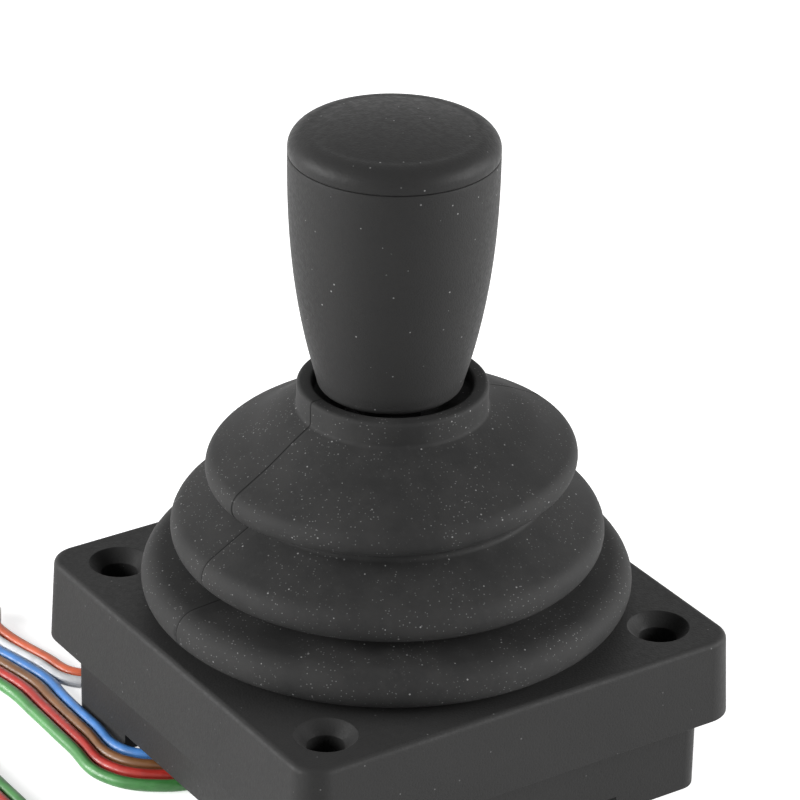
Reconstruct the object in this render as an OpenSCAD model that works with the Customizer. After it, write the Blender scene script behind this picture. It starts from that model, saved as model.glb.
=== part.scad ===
// Two-axis fingertip joystick that springs back to the middle. A square countersunk flange
// carries a gimbal, a square gate and a ribbed rubber boot; a magnet under the lever swings
// over a sensor board, and six flying leads leave under the lower housing.
// Z is up and the origin is the centre of the face that it stands on. Lengths are millimetres.

/* [Flange] */
// Width of the flange across its foot
flange_w = 61; // [59:0.5:66]
// How far each side leans in from foot to top
flange_draft = 0.5; // [0.2:0.1:1]
// Thickness of the flange
flange_t = 10.5; // [9.5:0.5:13]
// Radius of the flange's upright corners at the foot
flange_corner_r = 4; // [3:0.5:6]
// Rounding along the flange's top edge
flange_edge_r = 0.8; // [0.4:0.1:1.2]
// Thickness of the flange's top skin
flange_skin = 3; // [2.5:0.1:4]

/* [Fixing holes] */
// Distance between neighbouring fixing holes
hole_spacing = 46.5; // [45.5:0.5:47]
// Diameter of the fixing holes
hole_d = 4.5; // [3.5:0.1:4.8]
// Diameter of the countersinks at the top
sink_d = 7.4; // [6:0.1:8.5]

/* [Lower housing] */
// Width of the lower housing
lower_w = 55; // [54.5:0.5:57]
// Height of the lower housing, down to its pads
lower_h = 10.5; // [10:0.5:13]
// Radius of the lower housing's upright corners
lower_corner_r = 2.5; // [1.5:0.5:4]
// Thickness of the lower housing's walls
lower_wall = 2.4; // [2.2:0.1:3]
// Thickness of the lower housing's floor
lower_floor = 3; // [2.8:0.1:3.4]
// Height of the gaps that the leads leave by
lead_gap = 2.2; // [1.8:0.1:2.6]
// Width of the pads that it stands on at the corners
pad_w = 12.5; // [11:0.5:14]
// Diameter of the round cover in the floor
cover_d = 36; // [34:0.5:36.5]
// Thickness of the round cover
cover_t = 1.6; // [1.2:0.1:1.8]
// Width of the sealing gasket between flange and lower housing
gasket_w = 0.9; // [0.6:0.1:1.1]
// Depth of the gasket's groove
gasket_h = 0.8; // [0.5:0.1:1.2]

/* [Gimbal] */
// How far the tilt centre lies below the flange's top face
pivot_drop = 4; // [3.6:0.1:4.4]
// Furthest tilt each way about each axis, in degrees
tilt_max = 18; // [12:1:20]
// Outer diameter of the gimbal ring
ring_d = 20.4; // [19.6:0.2:21.2]
// Thickness of the gimbal ring's wall
ring_wall = 3; // [2.6:0.1:3.2]
// Height of the gimbal ring
ring_h = 6; // [5.4:0.2:6.4]
// Diameter of the hub in the middle of the ring
hub_d = 11; // [10:0.2:11.6]
// Height of the hub
hub_h = 7; // [6:0.2:7.4]
// Diameter of the pivot pins
pin_d = 2.5; // [2:0.1:2.8]
// Wall of the pivot bushes
bush_wall = 0.85; // [0.6:0.05:0.9]
// Wall of the round carrier that holds the gimbal
carrier_wall = 3.75; // [3.5:0.05:4]
// Width of the carrier's lip on the flange
carrier_lip = 5; // [4.6:0.1:5.2]
// Thickness of the carrier's lip
lip_t = 1.6; // [1.2:0.1:2]

/* [Lever] */
// Diameter of the steel lever shaft
shaft_d = 6; // [5:0.1:6.4]
// Outer diameter of the lever's sleeve
sleeve_d = 9; // [8.6:0.1:9.4]
// Height of the sleeve's shoulder under the boot's neck
shoulder_h = 1.8; // [1.2:0.1:2.4]
// Thickness of the square gate's plate
gate_t = 1.6; // [1.2:0.1:2]
// Wire of the return spring
spring_wire = 1; // [0.8:0.1:1.2]
// Turns of the return spring
spring_turns = 5; // [4:1:6]
// Height of the fitted return spring
spring_h = 11.8; // [10:0.2:13]
// Thickness of the collar on top of the spring
collar_t = 1.6; // [1.2:0.1:2.2]

/* [Boot] */
// Wall of the rubber boot
boot_wall = 1.2; // [1:0.1:1.3]
// Radius of the lowest fold of the boot
fold_1_r = 29.2; // [28.8:0.1:29.6]
// Radius of the middle fold of the boot
fold_2_r = 25.7; // [25.2:0.1:26]
// Radius of the top fold of the boot
fold_3_r = 21.9; // [21.4:0.1:22.4]
// Height of the boot's neck collar above the flange
neck_top = 28.7; // [28.5:0.1:29]
// Outer diameter of the boot's neck collar
neck_d = 22.5; // [22:0.1:23]
// Thickness of the clamp ring that holds the boot's foot
clamp_t = 1.6; // [1.2:0.1:2]

/* [Knob] */
// Diameter of the knob under its cap
knob_d = 24.4; // [23:0.1:26]
// Diameter of the knob near its foot
knob_foot_d = 16.6; // [16:0.1:17.4]
// Height of the knob from its foot to the cap's seam
knob_h = 29.5; // [27:0.5:34]
// Height of the cap's side above the seam
cap_side = 0.7; // [0.5:0.1:1.2]
// Rounding of the cap's rim
cap_edge = 2.7; // [2:0.1:3.2]
// Rise of the cap's dome
cap_dome = 1; // [0.4:0.1:1.6]
// Wall of the hollow knob
knob_wall = 2.3; // [2:0.1:2.6]

/* [Sensing] */
// Diameter of the magnet under the lever
magnet_d = 5; // [4:0.1:5.4]
// Height of the magnet
magnet_h = 2.2; // [1.8:0.1:2.4]
// Width of the square sensor board
board_w = 30; // [29.5:0.5:31]
// Thickness of the sensor board
board_t = 1.6; // [1:0.1:1.6]
// Height of the sensor chip
chip_h = 1; // [0.8:0.1:1.1]

/* [Leads] */
// Diameter of the flying leads
lead_d = 1.5; // [1.3:0.1:1.6]

/* [Clearances] */
// Radial running clearance of the pivots
run_fit = 0.05; // [0.02:0.01:0.08]
// Radial clearance of parts that are fitted once
slip_fit = 0.1; // [0.05:0.01:0.15]
// Room that moving parts keep from fixed ones
swing_gap = 0.6; // [0.4:0.05:0.7]
// Room that the rubber boot keeps from its neighbours
rubber_gap = 0.3; // [0.2:0.05:0.4]

/* [Hidden] */
$fn = 64;
eps = 0.01;

// Colours
plastic_colour = [0.16, 0.16, 0.17];
rubber_colour = [0.11, 0.11, 0.115];
inner_plastic = [0.3, 0.3, 0.32];
steel_colour = [0.72, 0.73, 0.75];
brass_colour = [0.78, 0.62, 0.3];
board_colour = [0.1, 0.38, 0.2];
chip_colour = [0.08, 0.08, 0.09];

// Levels
floor_z = lead_gap + lower_floor;
top_z = lower_h + flange_t;
pivot_z = top_z - pivot_drop;
// Tilt reached when both axes are at their limit
tilt_both = acos(cos(tilt_max) * cos(tilt_max));

// Gimbal
ring_r = ring_d / 2;
ring_in = ring_r - ring_wall;
hub_r = hub_d / 2;
pin_r = pin_d / 2;
bush_r = pin_r + bush_wall;
ring_sweep = sqrt(ring_r * ring_r + ring_h * ring_h / 4);
carrier_in = ring_sweep + swing_gap;
carrier_r = carrier_in + carrier_wall;
lip_r = carrier_r + carrier_lip;
carrier_floor = pivot_z - bush_r - 2.4;
gate_z = pivot_z + ring_r * sin(tilt_max) + ring_h / 2 * cos(tilt_max) + swing_gap;
gate_top = gate_z + gate_t;
gate_corner = 3.5;
// Half width that the tilted sleeve needs in the gate, with a little play
lean = tan(tilt_max) / cos(tilt_max);
gate_half = (gate_top - pivot_z) * lean + sleeve_d / 2 * sqrt(1 + lean * lean) + 0.15;

// Screws: shank radius, head radius, head height
housing_screw = [1.5, 2.75, 1.9];
small_screw = [0.9, 1.6, 1.1];
lip_screw = [1.1, 1.9, 1.3];
housing_screw_x = lower_w / 2 - lower_wall - housing_screw[1] - 0.55;
carrier_screw_r = carrier_r + carrier_lip / 2 + 0.1;
gate_screw_r = carrier_in + carrier_wall / 2;
clamp_in = lip_r + 1.2;
clamp_r = clamp_in + 3.8;
clamp_screw_r = (clamp_in + clamp_r) / 2;
cover_screw_r = cover_d / 2 - 1.75;
cover_lip = 3.4;
board_screw_x = board_w / 2 - 2.4;

// Lever
shaft_r = shaft_d / 2;
sleeve_r = sleeve_d / 2;
hub_top = pivot_z + hub_h / 2;
hub_foot = pivot_z - hub_h / 2;
neck_r = neck_d / 2;
neck_z = top_z + neck_top;
neck_floor_t = 1.5;
neck_seat = neck_z - 1.9 - neck_floor_t;
nut_h = 1.2;
nut_z = neck_seat + neck_floor_t;
knob_z = nut_z + nut_h + 0.2;
spring_top = gate_top + spring_h;
clip_t = 0.8;
clip_depth = 0.5;
spring_foot_r = gate_half * sqrt(2) - gate_corner * (sqrt(2) - 1) + spring_wire / 2 + 0.6;
spring_head_r = sleeve_r + spring_wire / 2 + 1.1;
collar_r = spring_head_r + spring_wire / 2 + 1;

// Magnet and sensor
holder_wall = 1;
holder_roof = 0.8;
holder_r = magnet_d / 2 + holder_wall;
magnet_z = hub_foot - holder_roof - magnet_h;
magnet_drop = pivot_z - magnet_z;
chip_top = pivot_z - sqrt(magnet_drop * magnet_drop + holder_r * holder_r) - swing_gap / 2;
board_z = chip_top - chip_h - board_t;

// Knob
knob_r = knob_d / 2;
knob_foot_r = knob_foot_d / 2;
knob_edge = 1.1;
seam_z = knob_z + knob_h;
insert_r = shaft_r + 1.6;
insert_h = 17;
shaft_top = knob_z + insert_h + 0.8;
cap_spigot = 2.2;

// Block of the grommet, where it sits, and how much slimmer it is in the cover's window
grommet = [11, 9];
grommet_at = [-3.5, -5.5];
grommet_neck = [9.2, 7.2];
grommet_top = floor_z + 0.5;
tail_x = [for (i = [0:5]) -7.4 + 1.6 * i];

// Routes of the leads, from the grommet to the bare ends
orange_route = [
    [-9, -3.6, 0.9], [-15, -5.2, 0.8], [-21, -8.2, 0.76], [-26, -10.9, 0.76],
    [-30, -13.1, 0.76], [-30.8, -17.5, 0.76], [-31, -21.5, 0.76], [-33.2, -24.5, 0.76],
    [-37.5, -25.5, 0.76], [-45.5, -27.1, 0.8], [-51, -27.3, 1.1], [-57, -27.35, 0.8],
    [-65.9, -31.1, 0.76], [-69.65, -40, 0.76], [-65.9, -48.9, 0.76], [-57, -52.65, 0.76],
    [-48, -52.65, 1.1], [-40, -52.65, 0.76], [-5, -52.65, 0.76]
];
white_route = [
    [-9, -5.8, 0.9], [-15, -7.4, 0.8], [-21, -10.2, 0.76], [-25, -12.4, 0.76],
    [-28.3, -14.3, 0.76], [-29.1, -17.5, 0.76], [-29.3, -22, 0.76], [-31.7, -25.7, 0.76],
    [-37.5, -27.1, 0.76], [-45.5, -28.8, 0.8], [-51, -29, 1.1], [-57, -29, 0.8],
    [-64.8, -32.2, 0.76], [-68, -40, 0.76], [-64.8, -47.8, 0.76], [-57, -51, 0.76],
    [-48, -51, 1.1], [-40, -51, 0.76], [0.2, -51, 0.76]
];
blue_route = [
    [-7.6, -10, 0.9], [-8, -15, 0.8], [-9, -20, 0.76], [-10.8, -25.2, 0.76],
    [-14.2, -28.3, 0.76], [-21, -28.4, 0.76], [-28.8, -28.3, 0.76], [-33, -28, 0.76],
    [-38.5, -28.9, 0.76], [-45.5, -30.4, 0.8], [-51, -30.6, 1.1], [-57, -30.65, 0.8],
    [-63.6, -33.4, 0.76], [-66.35, -40, 0.76], [-63.6, -46.6, 0.76], [-57, -49.35, 0.76],
    [-48, -49.35, 1.1], [-40, -49.35, 0.76], [1.1, -49.35, 0.76]
];
brown_route = [
    [-5.6, -10, 0.9], [-6, -15, 0.8], [-6.8, -20.5, 0.76], [-8.6, -26, 0.76],
    [-13, -29.95, 0.76], [-20, -30, 0.76], [-28.8, -29.9, 0.76], [-33, -29.7, 0.76],
    [-38.5, -30.6, 0.76], [-45.5, -32, 0.8], [-51, -32.25, 1.1], [-57, -32.3, 0.8],
    [-62.45, -34.5, 0.76], [-64.7, -40, 0.76], [-62.45, -45.5, 0.76], [-57, -47.7, 0.76],
    [-48, -47.7, 1.1], [-40, -47.7, 0.76], [3, -47.7, 0.76]
];
red_route = [
    [-3.6, -10, 0.9], [-4, -15, 0.8], [-4.8, -21, 0.76], [-6.6, -27, 0.76],
    [-11.6, -31.5, 0.76], [-19, -31.6, 0.76], [-28, -31.5, 0.76], [-33, -31.4, 0.76],
    [-38.5, -32.3, 0.76], [-45.5, -33.7, 0.8], [-51, -33.9, 1.1], [-57, -33.95, 0.8],
    [-61.2, -35.85, 0.76], [-63.05, -40, 0.76], [-61.2, -44.15, 0.76], [-57, -46.05, 0.76],
    [-48, -46.05, 1.1], [-40, -46.05, 0.76], [4.7, -46.05, 0.76]
];
green_route = [
    [-1.6, -10, 0.9], [-2, -15, 0.8], [-2.8, -21.5, 0.76], [-4.6, -28, 0.76],
    [-10.2, -33.1, 0.76], [-18, -33.2, 0.76], [-28, -33.1, 0.76], [-33, -33.1, 0.76],
    [-38.5, -34, 0.76], [-45.5, -35.3, 0.8], [-51, -35.6, 1.1], [-57, -35.6, 0.8],
    [-60.1, -36.9, 0.76], [-61.4, -40, 0.76], [-60.1, -43.1, 0.76], [-57, -44.4, 0.76],
    [-48, -44.4, 1.1], [-40, -44.4, 0.76], [6.6, -44.4, 0.76]
];

// ---------- shapes that repeat ----------

// A square block with leaning sides, rounded upright corners and a rounded top edge
module drafted_block(foot_w, draft, h, corner_r, edge_r) {
    core = foot_w / 2 - corner_r;
    edge = [for (a = [0:15:90]) [
        corner_r - draft - edge_r + edge_r * cos(a), h - edge_r + edge_r * sin(a)
    ]];
    side = concat([[0, 0], [corner_r, 0]], edge, [[0, h]]);
    bar = concat(
        [for (p = side) if (p[0] > 0) [core + p[0], p[1]]],
        [for (i = [len(side) - 1:-1:0]) if (side[i][0] > 0) [-core - side[i][0], side[i][1]]]
    );
    for (turn = [0, 90])
        rotate([90, 0, turn])
            linear_extrude(2 * core, center = true) polygon(bar);
    for (x = [-1, 1], y = [-1, 1])
        translate([x * core, y * core, 0]) rotate_extrude() polygon(side);
}

// A square with round corners
module round_square(w, r) {
    for (turn = [0, 90])
        rotate(turn) square([w, w - 2 * r], center = true);
    for (x = [-1, 1], y = [-1, 1])
        translate([x * (w / 2 - r), y * (w / 2 - r)]) circle(r);
}

module at_corners(d) {
    for (x = [-1, 1], y = [-1, 1])
        translate([x * d, y * d, 0]) children();
}

module around(r, first) {
    for (i = [0:3])
        rotate(first + 90 * i) translate([r, 0, 0]) children();
}

module tube(r_out, r_in, h) {
    difference() {
        cylinder(r = r_out, h = h);
        translate([0, 0, -eps]) cylinder(r = r_in, h = h + 2 * eps);
    }
}

// A rod lying along X between two distances from the middle
module rod_x(r, from, to) {
    translate([from, 0, 0]) rotate([0, 90, 0]) cylinder(r = r, h = to - from);
}

// A pan-head screw whose head sits on z = 0, pointing down
module screw(size, length) {
    difference() {
        union() {
            cylinder(r = size[1], h = size[2]);
            translate([0, 0, -length]) cylinder(r = size[0], h = length + eps);
        }
        translate([0, 0, size[2] / 2])
            cylinder(r = size[1] * 0.5, h = size[2], $fn = 6);
    }
}

// A round cord swept along a route
function unit(v) = v / norm(v);
function heading(p, i) = unit(p[min(i + 1, len(p) - 1)] - p[max(i - 1, 0)]);
function ring_at(p, i, r, sides) =
    let (d = heading(p, i), s = unit(cross(d, [0, 0, 1])), u = cross(s, d))
    [for (k = [0:sides - 1]) p[i] + r * (cos(360 * k / sides) * s + sin(360 * k / sides) * u)];

module cord(p, d, sides = 8) {
    n = len(p);
    points = [for (i = [0:n - 1]) each ring_at(p, i, d / 2, sides)];
    walls = [for (i = [0:n - 2], k = [0:sides - 1]) [
        i * sides + k, (i + 1) * sides + k,
        (i + 1) * sides + (k + 1) % sides, i * sides + (k + 1) % sides
    ]];
    first = [for (k = [0:sides - 1]) k];
    last = [for (k = [sides - 1:-1:0]) (n - 1) * sides + k];
    polyhedron(points, concat([first, last], walls), convexity = 6);
}

// ---------- fixed parts ----------

module flange_housing() {
    room = lower_w - 2 * lower_wall;
    column_r = hole_d / 2 + 2.2;
    sink_h = (sink_d - hole_d) / 2;
    color(plastic_colour) translate([0, 0, lower_h]) difference() {
        union() {
            difference() {
                drafted_block(flange_w, flange_draft, flange_t, flange_corner_r, flange_edge_r);
                translate([0, 0, -eps])
                    linear_extrude(flange_t - flange_skin + eps) round_square(room, lower_corner_r);
            }
            at_corners(hole_spacing / 2) cylinder(r = column_r, h = flange_t - eps);
            cylinder(r = lip_r + 0.2, h = flange_t - eps);
            around(housing_screw_x, 0)
                cylinder(r = housing_screw[1] + 0.45, h = flange_t - eps);
            for (turn = [45, 135])
                rotate(turn) translate([-hole_spacing / sqrt(2), -1, 3])
                    cube([hole_spacing * sqrt(2), 2, flange_t - 3 - eps]);
        }
        translate([0, 0, -1]) cylinder(r = carrier_r + slip_fit, h = flange_t + 2);
        at_corners(hole_spacing / 2) {
            translate([0, 0, -1]) cylinder(d = hole_d, h = flange_t + 2);
            translate([0, 0, flange_t - sink_h])
                cylinder(d1 = hole_d, d2 = sink_d + 2, h = sink_h + 1);
        }
        around(housing_screw_x, 0)
            translate([0, 0, -1]) cylinder(r = housing_screw[0] + eps, h = 1 + flange_t - flange_skin);
        around(carrier_screw_r, 0)
            translate([0, 0, flange_t - 6]) cylinder(r = lip_screw[0] + eps, h = 7);
        around(clamp_screw_r, 45)
            translate([0, 0, flange_t - flange_skin + 0.3])
                cylinder(r = small_screw[0] + eps, h = flange_skin);
    }
}

module lower_housing() {
    room = lower_w - 2 * lower_wall;
    pad_in = lower_w / 2 - pad_w;
    color(plastic_colour) difference() {
        linear_extrude(lower_h) round_square(lower_w, lower_corner_r);
        difference() {
            translate([0, 0, floor_z])
                linear_extrude(lower_h) round_square(room, lower_corner_r);
            at_corners(hole_spacing / 2) cylinder(r = hole_d / 2 + 2, h = lower_h);
            around(housing_screw_x, 0) cylinder(r = housing_screw[1] + 0.45, h = lower_h);
            at_corners(board_screw_x) cylinder(r = small_screw[0] + 1.1, h = board_z);
        }
        for (turn = [0, 90])
            rotate(turn) translate([-pad_in, -lower_w, -1])
                cube([2 * pad_in, 2 * lower_w, lead_gap + 1]);
        at_corners(hole_spacing / 2) translate([0, 0, -1]) cylinder(d = hole_d, h = lower_h + 2);
        around(housing_screw_x, 0) {
            translate([0, 0, -1]) cylinder(r = housing_screw[0] + slip_fit, h = lower_h + 2);
            translate([0, 0, -1])
                cylinder(r = housing_screw[1] + 0.2, h = 1 + lead_gap + housing_screw[2] + 0.2);
        }
        translate([0, 0, -1]) cylinder(d = cover_d + 2 * slip_fit, h = 1 + lead_gap + cover_t);
        translate([0, 0, -1]) cylinder(d = cover_d - 2 * cover_lip, h = floor_z + 2);
        around(cover_screw_r, 0) cylinder(r = 0.8 + eps, h = floor_z + 1);
        at_corners(board_screw_x)
            translate([0, 0, floor_z - 1]) cylinder(r = small_screw[0] + eps, h = lower_h);
        translate([0, 0, lower_h - gasket_h]) linear_extrude(gasket_h + 1) difference() {
            round_square(lower_w - lower_wall + gasket_w + 0.1, lower_corner_r);
            round_square(lower_w - lower_wall - gasket_w - 0.1, lower_corner_r - gasket_w);
        }
    }
}

module base_cover() {
    color(plastic_colour) translate([0, 0, lead_gap]) difference() {
        cylinder(d = cover_d, h = cover_t);
        translate([grommet_at[0], grommet_at[1], -1])
            linear_extrude(cover_t + 2) square(grommet_neck + [0.1, 0.1], center = true);
        around(cover_screw_r, 0) {
            translate([0, 0, -1]) cylinder(r = 0.8 + slip_fit, h = cover_t + 2);
            translate([0, 0, -1]) cylinder(r1 = 2.6, r2 = 0.8, h = 1.8);
        }
    }
}

module housing_gasket() {
    color(rubber_colour) translate([0, 0, lower_h - gasket_h])
        linear_extrude(gasket_h) difference() {
            round_square(lower_w - lower_wall + gasket_w, lower_corner_r);
            round_square(lower_w - lower_wall - gasket_w, lower_corner_r - gasket_w);
        }
}

module gimbal_carrier() {
    color(inner_plastic) difference() {
        union() {
            translate([0, 0, carrier_floor])
                cylinder(r = carrier_r, h = gate_z - carrier_floor);
            translate([0, 0, top_z]) cylinder(r = lip_r, h = lip_t);
        }
        translate([0, 0, carrier_floor - 1]) cylinder(r = carrier_in, h = gate_z);
        translate([0, 0, pivot_z]) rod_x(bush_r + eps, -carrier_r - 1, carrier_r + 1);
        around(carrier_screw_r, 0)
            translate([0, 0, top_z - 1]) cylinder(r = lip_screw[0] + slip_fit, h = lip_t + 2);
        around(gate_screw_r, 45)
            translate([0, 0, gate_z - 5]) cylinder(r = small_screw[0] + eps, h = 6);
    }
}

module gate_plate() {
    color(steel_colour) translate([0, 0, gate_z]) difference() {
        cylinder(r = carrier_r, h = gate_t);
        translate([0, 0, -1]) linear_extrude(gate_t + 2) round_square(2 * gate_half, gate_corner);
        around(gate_screw_r, 45)
            translate([0, 0, -1]) cylinder(r = small_screw[0] + slip_fit, h = gate_t + 2);
    }
}

module bearing_bushes() {
    color(brass_colour) translate([0, 0, pivot_z]) for (turn = [0, 180])
        rotate(turn) difference() {
            rod_x(bush_r, carrier_in + 0.15, carrier_r - 0.1);
            rod_x(pin_r + run_fit, carrier_in - 1, carrier_r + 1);
        }
}

// Circles that the boot's wall runs round: radius and height of the centre, the circle's
// radius on the outside, and 1 for a fold or -1 for a valley
valley_r = 0.6;
boot_circles = [
    [fold_1_r - 2.6, 3.3, 2.6, 1],
    [fold_2_r - 3.5, 6.8, valley_r, -1],
    [fold_2_r - 2.4, 9.8, 2.4, 1],
    [fold_3_r - 2.6, 15.4, valley_r, -1],
    [fold_3_r - 2, neck_top - 10.1, 2, 1],
    [neck_r + valley_r, neck_top - 2.7, valley_r, -1],
    [neck_r - 0.5, neck_top - 0.5, 0.5, 1]
];
// Angle of the outward normal on the straight stretch from circle i to the next
function flank(i) =
    let (a = boot_circles[i], b = boot_circles[i + 1], d = [b[0] - a[0], b[1] - a[1]])
    atan2(d[1], d[0]) - 90 + asin((a[3] * a[2] - b[3] * b[2]) / norm(d));
// Points of the wall's surface, sunk below the outside, from circle first to circle last
function wall_points(first, last, sunk, from, to) = [
    for (i = [first:last])
        let (c = boot_circles[i], r = c[2] - c[3] * sunk,
             a = i == first ? from : flank(i - 1), b = i == last ? to : flank(i))
        for (k = [0:6])
            let (t = a + (b - a) * k / 6) [c[0] + c[3] * r * cos(t), c[1] + c[3] * r * sin(t)]
];

module boot() {
    cup_r = neck_r - 1.8;
    outside = wall_points(0, 6, 0, -85, 90);
    inside = wall_points(0, 5, boot_wall, -60, flank(4));
    neck = [
        [cup_r, neck_top], [cup_r, nut_z - top_z], [sleeve_r + rubber_gap, nut_z - top_z],
        [sleeve_r + rubber_gap, neck_seat - top_z], [neck_r - 2.4, neck_seat - top_z]
    ];
    foot = [[clamp_r + 0.2, boot_wall], [clamp_in, boot_wall], [clamp_in, 0], [fold_1_r - 3, 0]];
    inward = [for (i = [len(inside) - 1:-1:0]) inside[i]];
    color(rubber_colour) translate([0, 0, top_z]) difference() {
        rotate_extrude($fn = 96) polygon(concat(outside, neck, inward, foot));
        around(clamp_screw_r, 45)
            translate([0, 0, -1]) cylinder(r = small_screw[0] + rubber_gap, h = boot_wall + 1.5);
    }
}

module boot_clamp_ring() {
    color(steel_colour) translate([0, 0, top_z + boot_wall]) difference() {
        tube(clamp_r, clamp_in, clamp_t);
        around(clamp_screw_r, 45)
            translate([0, 0, -1]) cylinder(r = small_screw[0] + slip_fit, h = clamp_t + 2);
    }
}

module return_spring() {
    steps = spring_turns * 12;
    foot = gate_top + spring_wire / 2;
    rise = spring_h - spring_wire;
    helix = [for (i = [0:steps])
        let (t = i / steps, r = spring_foot_r + (spring_head_r - spring_foot_r) * t)
        [r * cos(30 * i), r * sin(30 * i), foot + rise * t]
    ];
    color(steel_colour) cord(helix, spring_wire);
}

module sensor_board() {
    color(board_colour) translate([0, 0, board_z]) difference() {
        linear_extrude(board_t) square(board_w, center = true);
        at_corners(board_screw_x)
            translate([0, 0, -1]) cylinder(r = small_screw[0] + slip_fit, h = board_t + 2);
    }
}

module hall_sensor() {
    color(chip_colour) translate([0, 0, board_z + board_t])
        linear_extrude(chip_h) square(5, center = true);
}

module board_parts() {
    color(chip_colour) translate([0, 0, board_z + board_t]) {
        for (x = [-10, 10])
            translate([x - 1, -3, 0]) cube([2, 1.25, 0.8]);
        translate([-2, 9, 0]) cube([4, 3, 1]);
        translate([-8, 9, 0]) cube([3, 1.6, 0.8]);
    }
}

module lead_grommet() {
    foot = 0.05;
    cover_top = lead_gap + cover_t;
    color(rubber_colour) translate([grommet_at[0], grommet_at[1], 0]) {
        translate([0, 0, foot]) linear_extrude(lead_gap - foot) square(grommet, center = true);
        translate([0, 0, foot])
            linear_extrude(grommet_top - foot) square(grommet_neck, center = true);
        translate([0, 0, cover_top])
            linear_extrude(grommet_top - cover_top) square(grommet, center = true);
    }
}

module lead_tails() {
    color(steel_colour) for (x = tail_x)
        translate([x, grommet_at[1], grommet_top]) cylinder(r = 0.4, h = board_z - grommet_top);
}

module housing_screws() {
    head = lead_gap + housing_screw[2] + 0.2;
    color(steel_colour) around(housing_screw_x, 0)
        translate([0, 0, head]) rotate([180, 0, 0]) screw(housing_screw, lower_h + 5 - head);
}

module cover_screws() {
    color(steel_colour) around(cover_screw_r, 0) translate([0, 0, lead_gap]) {
        cylinder(r1 = 1.55, r2 = 0.8, h = 0.75);
        cylinder(r = 0.8, h = lower_floor - 0.2);
    }
}

module board_screws() {
    color(steel_colour) at_corners(board_screw_x)
        translate([0, 0, board_z + board_t]) screw(small_screw, board_z + board_t - floor_z + 0.8);
}

module carrier_screws() {
    color(steel_colour) around(carrier_screw_r, 0)
        translate([0, 0, top_z + lip_t]) screw(lip_screw, lip_t + 5);
}

module gate_screws() {
    color(steel_colour) around(gate_screw_r, 45)
        translate([0, 0, gate_top]) screw(small_screw, gate_t + 4);
}

module clamp_screws() {
    color(steel_colour) around(clamp_screw_r, 45)
        translate([0, 0, top_z + boot_wall + clamp_t])
            screw(small_screw, boot_wall + clamp_t + flange_skin - 0.5);
}

// Two ties round the flat bundle, one each side of its turn
module lead_ties() {
    band = 0.3;
    bundle = [11.2, 1.62];
    color([0.9, 0.9, 0.88]) for (at = [[-51, -31.45], [-48, -48.53]])
        translate([at[0] - 1.2, at[1] - bundle[0] / 2 - band, 0]) difference() {
            cube([2.4, bundle[0] + 2 * band, bundle[1] + 2 * band]);
            translate([-1, band, band]) cube([5, bundle[0], bundle[1]]);
        }
}

// ---------- parts that tilt about X ----------

module gimbal_ring() {
    color(inner_plastic) translate([0, 0, pivot_z]) difference() {
        translate([0, 0, -ring_h / 2]) tube(ring_r, ring_in, ring_h);
        rod_x(pin_r + eps, -ring_r - 1, ring_r + 1);
        rotate(90) rod_x(bush_r + eps, -ring_r - 1, ring_r + 1);
    }
}

module ring_pins() {
    color(steel_colour) translate([0, 0, pivot_z]) for (turn = [0, 180])
        rotate(turn) rod_x(pin_r, ring_in + 0.2, carrier_r - 0.4);
}

module ring_bushes() {
    color(brass_colour) translate([0, 0, pivot_z]) for (turn = [90, 270])
        rotate(turn) difference() {
            rod_x(bush_r, ring_in + 0.15, ring_r - 0.1);
            rod_x(pin_r + run_fit, ring_in - 1, ring_r + 1);
        }
}

// ---------- parts that tilt about both axes ----------

module lever_hub() {
    bevel = 0.5;
    color(inner_plastic) difference() {
        translate([0, 0, hub_foot]) rotate_extrude() polygon([
            [shaft_r + eps, 0], [hub_r - bevel, 0], [hub_r, bevel], [hub_r, hub_h - bevel],
            [hub_r - bevel, hub_h], [shaft_r + eps, hub_h]
        ]);
        translate([0, 0, pivot_z]) rotate(90) rod_x(pin_r + eps, -hub_r - 1, hub_r + 1);
    }
}

module cross_pin() {
    reach = ring_r - 0.3;
    color(steel_colour) translate([0, 0, pivot_z]) rotate(90) rod_x(pin_r, -reach, reach);
}

module lever_shaft() {
    color(steel_colour) difference() {
        translate([0, 0, hub_foot]) cylinder(r = shaft_r, h = shaft_top - hub_foot);
        translate([0, 0, pivot_z]) rotate(90) rod_x(pin_r + eps, -shaft_r - 1, shaft_r + 1);
    }
}

module lever_sleeve() {
    bore = shaft_r + 0.03;
    clip_z = spring_top + collar_t;
    shoulder = sleeve_r + 2.3;
    color(inner_plastic) rotate_extrude() polygon([
        [bore, hub_top], [sleeve_r, hub_top], [sleeve_r, clip_z],
        [sleeve_r - clip_depth, clip_z], [sleeve_r - clip_depth, clip_z + clip_t],
        [sleeve_r, clip_z + clip_t], [sleeve_r, neck_seat - shoulder_h - 1.2],
        [shoulder, neck_seat - shoulder_h], [shoulder, neck_seat],
        [sleeve_r, neck_seat], [sleeve_r, nut_z + nut_h], [bore, nut_z + nut_h]
    ]);
}

module spring_collar() {
    color(inner_plastic) translate([0, 0, spring_top]) tube(collar_r, sleeve_r + 0.03, collar_t);
}

module retaining_clip() {
    outer = sleeve_r + 1.5;
    color(steel_colour) translate([0, 0, spring_top + collar_t + 0.02]) difference() {
        tube(outer, sleeve_r - clip_depth + 0.02, clip_t - 0.04);
        translate([0, -2.6, -1]) cube([outer + 1, 5.2, clip_t + 2]);
    }
}

module neck_nut() {
    color(brass_colour) translate([0, 0, nut_z]) difference() {
        cylinder(r = sleeve_r + 2, h = nut_h, $fn = 6);
        translate([0, 0, -1]) cylinder(r = sleeve_r + 0.02, h = nut_h + 2);
    }
}

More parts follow.
